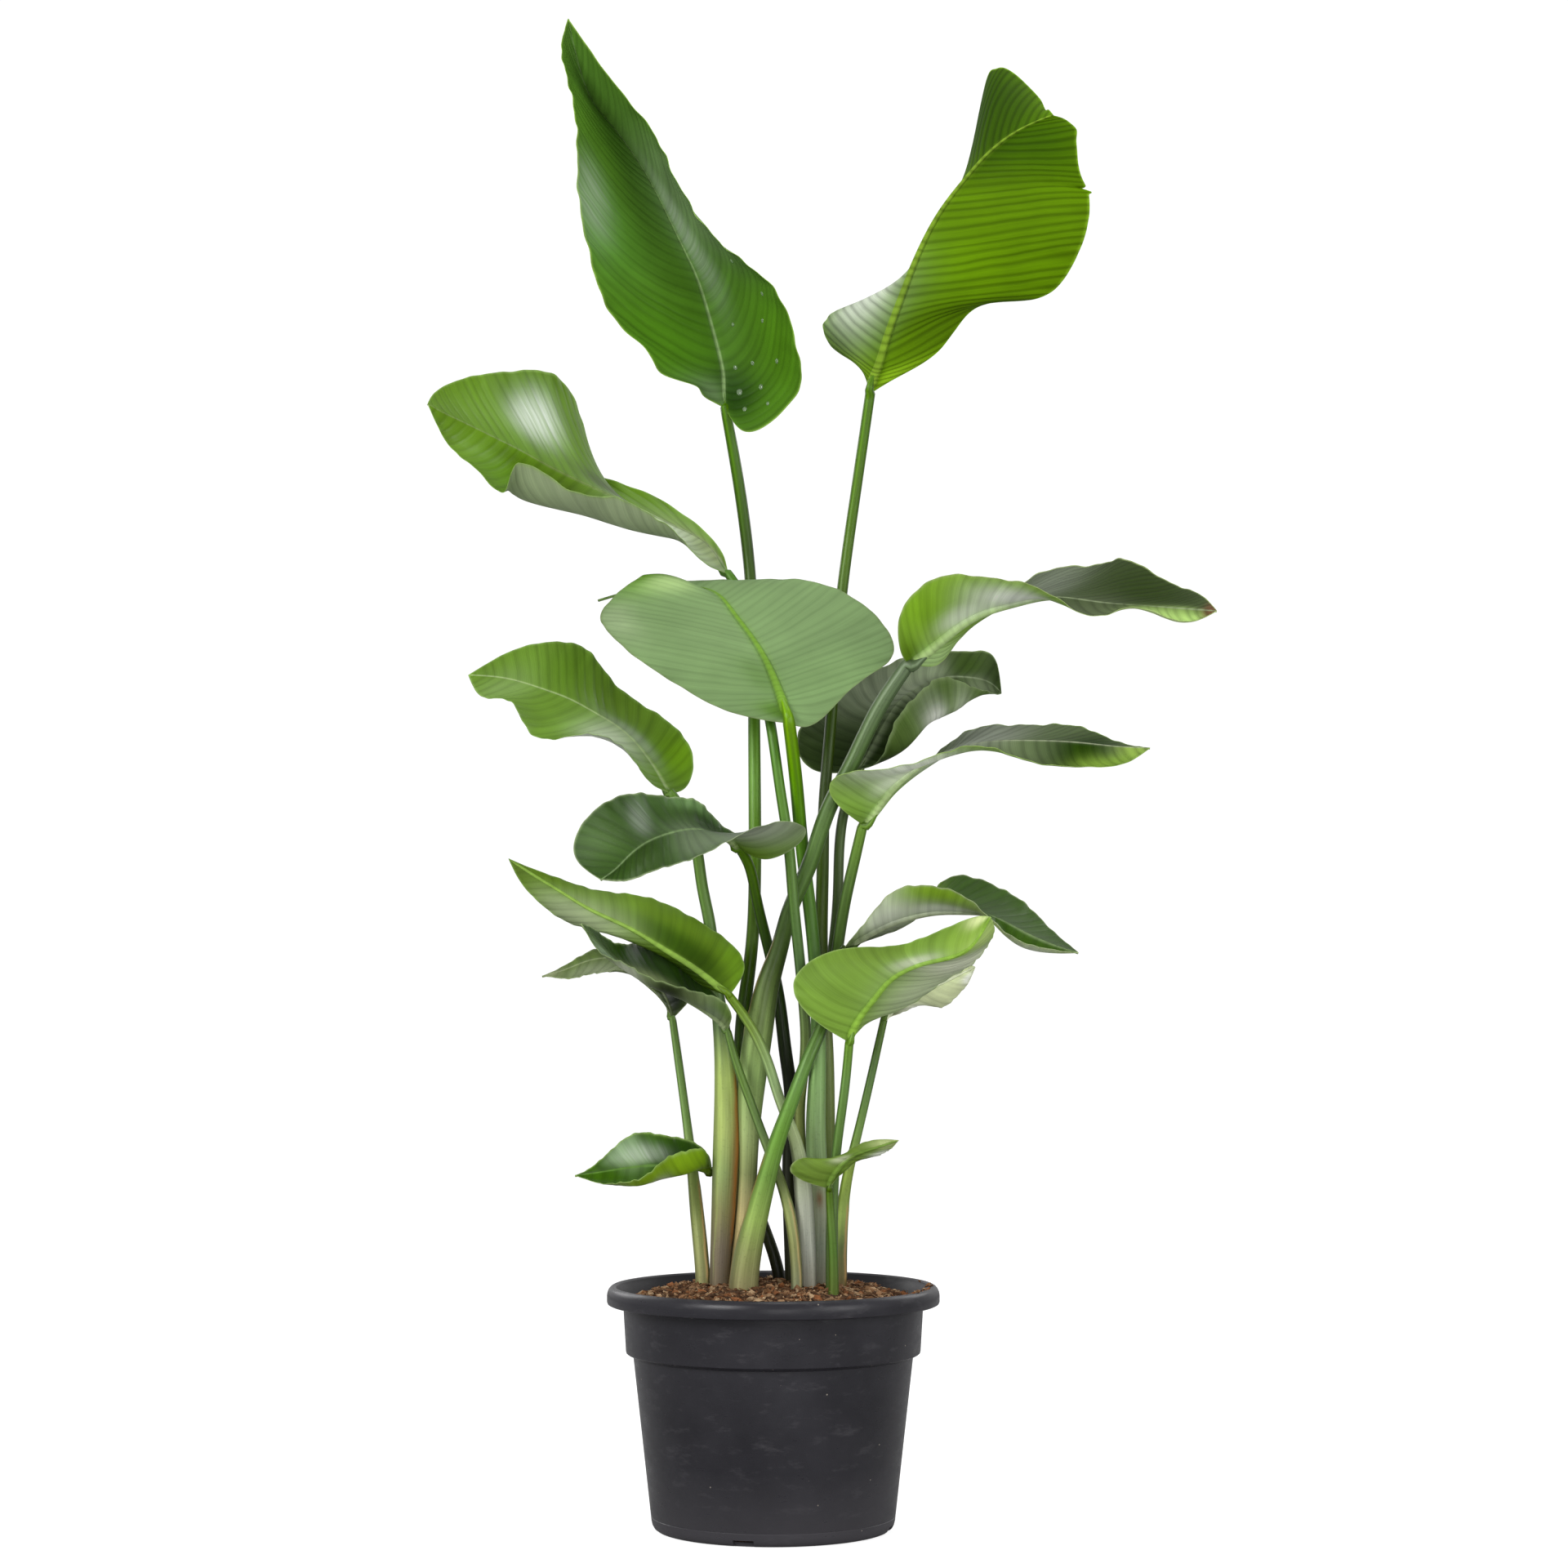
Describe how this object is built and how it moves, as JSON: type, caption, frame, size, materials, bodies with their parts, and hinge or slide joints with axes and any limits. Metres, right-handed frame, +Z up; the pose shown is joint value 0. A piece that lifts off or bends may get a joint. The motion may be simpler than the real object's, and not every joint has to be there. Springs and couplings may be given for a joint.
{
  "type": "potted white bird of paradise",
  "caption": "Potted white bird of paradise (Strelitzia nicolai) with long petioles and broad leaves, rooted in soil in a black nursery pot.",
  "frame": {"origin": "centre of the nursery pot's flat underside, on the surface that it stands on", "axes": "+Z up along the pot's axis; -Y towards the front of the plant; +X to the right as seen from the front"},
  "size_m": [0.7643, 0.4143, 1.4871],
  "materials": {
    "pot_plastic": "matt black moulded polypropylene with light dust",
    "soil": "rough crumbly peat and coir",
    "leaf": "waxy leaf with pale raised midrib and fine parallel veins"
  },
  "bodies": {
    "root": {"pot": "pot_plastic", "soil": "soil", "leaf_tall_left": "leaf", "leaf_tall_right": "leaf", "leaf_upper_left": "leaf", "leaf_center": "leaf", "leaf_right_long": "leaf", "leaf_right_dark": "leaf", "leaf_right_mid": "leaf", "leaf_left_mid": "leaf", "leaf_left_glossy": "leaf", "leaf_left_low": "leaf", "leaf_left_folded": "leaf", "leaf_left_lowest": "leaf", "leaf_base_left": "leaf", "leaf_right_low": "leaf", "leaf_right_low_back": "leaf", "leaf_right_arching": "leaf", "leaf_base_right": "leaf"}
  },
  "joints": []
}
